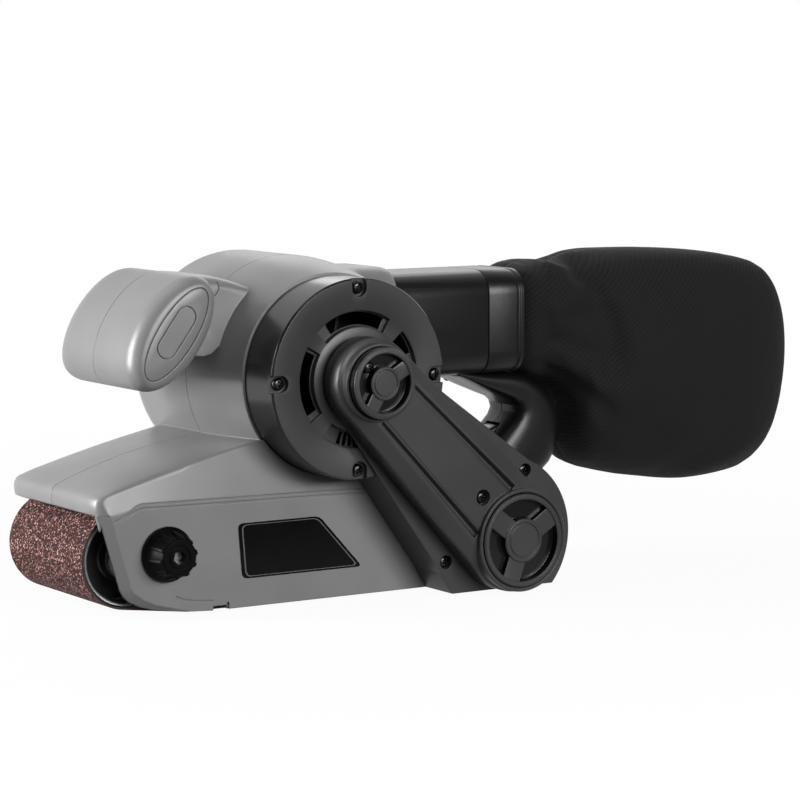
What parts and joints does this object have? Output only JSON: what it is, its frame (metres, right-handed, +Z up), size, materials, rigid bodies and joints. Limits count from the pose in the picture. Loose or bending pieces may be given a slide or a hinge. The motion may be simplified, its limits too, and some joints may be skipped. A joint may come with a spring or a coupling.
{
  "type": "handheld belt sander",
  "caption": "Handheld belt sander with a cross-mounted motor, side belt drive, front grip, rear D-handle, dust duct and cloth dust bag, as separate working pieces.",
  "frame": {"origin": "middle of the platen, on the working face of the sanding belt", "axes": "+X towards the dust bag, +Y towards the open belt-change side, +Z up; the drive belt cover is on the -Y side"},
  "size_m": [0.4461, 0.1592, 0.1623],
  "materials": {
    "grey_housing": "satin moulded plastic",
    "cast_aluminium": "cast",
    "steel": "ground",
    "graphite_pad": "matte woven graphite",
    "abrasive": "brown aluminium oxide grit on cloth",
    "black_rubber": "matte",
    "core_steel": "lacquered laminations",
    "copper": "enamelled copper",
    "black_plastic": "satin moulded plastic",
    "carbon": "matte",
    "black_screws": "blackened steel",
    "label": "gloss film",
    "bag_cloth": "black twill"
  },
  "bodies": {
    "root": {"left_housing": "grey_housing", "right_housing": "grey_housing", "main_frame": "cast_aluminium", "platen_plate": "steel", "platen_pad": "graphite_pad", "sanding_belt": "abrasive", "tension_spring": "steel", "lever_pin": "steel", "drive_bearings": "steel", "timing_belt": "black_rubber", "motor_bearings": "steel", "stator_core": "core_steel", "field_coils": "copper", "brush_holders": "black_plastic", "carbon_brushes": "carbon", "brush_caps": "black_plastic", "motor_flange": "black_plastic", "flange_screws": "black_screws", "drive_case": "black_plastic", "case_screws": "black_screws", "belt_cover": "black_plastic", "cover_screws": "black_screws", "motor_cap": "black_plastic", "roller_cap": "black_plastic", "nameplate": "label", "dust_duct": "black_plastic", "front_grip_left": "grey_housing", "front_grip_right": "grey_housing", "grip_end_caps": "grey_housing", "handle_left": "black_plastic", "handle_right": "black_plastic", "trigger_pin": "steel", "trigger_spring": "steel", "switch_body": "black_plastic", "cord_gland": "black_rubber", "housing_screws": "black_screws", "handle_screws": "black_screws"},
    "drive_roller": {"drive_roller": "steel", "roller_lagging": "black_rubber", "drive_shaft": "steel", "driven_pulley": "steel"},
    "armature": {"armature_shaft": "steel", "rotor_core": "core_steel", "armature_windings": "copper", "commutator": "copper", "cooling_fan": "black_plastic", "motor_pulley": "steel"},
    "tension_rod": {"tension_rod": "steel"},
    "roller_fork": {"roller_fork": "cast_aluminium", "fork_pin": "steel", "front_axle": "steel"},
    "front_roller": {"front_roller": "cast_aluminium", "roller_bearings": "steel"},
    "tracking_knob": {"tracking_knob": "black_plastic", "tracking_screw": "steel"},
    "release_lever": {"release_lever": "black_plastic"},
    "trigger": {"trigger": "black_plastic"},
    "lock_button": {"lock_button": "black_plastic"},
    "dust_bag": {"bag_collar": "black_plastic", "dust_bag": "bag_cloth"}
  },
  "joints": [
    {"name": "drive_spin", "type": "hinge", "parent": "root", "child": "drive_roller", "pos_m": [0.09375, 0, 0.0269], "axis": [0, 1, 0], "continuous": true},
    {"name": "armature_spin", "type": "hinge", "parent": "root", "child": "armature", "pos_m": [0.0134, 0, 0.1073], "axis": [0, 1, 0], "continuous": true},
    {"name": "belt_tension", "type": "slide", "parent": "root", "child": "tension_rod", "axis": [1, 0, 0], "range_m": [0, 0.006], "deforming": ["tension_spring"]},
    {"name": "fork_tilt", "type": "hinge", "parent": "tension_rod", "child": "roller_fork", "pos_m": [-0.05775, 0, 0.0275], "axis": [0, 0, 1], "range_deg": [-0.6, 0.6]},
    {"name": "front_spin", "type": "hinge", "parent": "roller_fork", "child": "front_roller", "pos_m": [-0.09375, 0, 0.0275], "axis": [0, 1, 0], "continuous": true},
    {"name": "tracking_turn", "type": "hinge", "parent": "root", "child": "tracking_knob", "pos_m": [-0.07855, 0, 0.03], "axis": [0, -1, 0], "range_deg": [-180, 180]},
    {"name": "lever_swing", "type": "hinge", "parent": "root", "child": "release_lever", "pos_m": [-0.03275, 0.034, 0.0275], "axis": [0, 0, 1], "range_deg": [0, 70]},
    {"name": "trigger_pull", "type": "hinge", "parent": "root", "child": "trigger", "pos_m": [0.13675, 0, 0.0685], "axis": [0, -1, 0], "range_deg": [0, 9], "stiffness_Nm_per_rad": 1.2, "springref_deg": -1.15, "deforming": ["trigger_spring"]},
    {"name": "lock_push", "type": "slide", "parent": "root", "child": "lock_button", "axis": [0, -1, 0], "range_m": [0, 0.003], "stiffness_N_per_m": 400, "springref_m": -0.0005},
    {"name": "bag_pull", "type": "slide", "parent": "root", "child": "dust_bag", "axis": [1, 0, 0], "range_m": [0, 0.02]}
  ],
  "couplings": [
    {"joint": "armature_spin", "follows": "drive_spin", "ratio": 3.5},
    {"joint": "front_spin", "follows": "drive_spin", "ratio": 1.1528},
    {"joint": "lever_swing", "follows": "belt_tension", "rad_per_m": 203.62},
    {"joint": "tracking_turn", "follows": "fork_tilt", "ratio": 300}
  ]
}
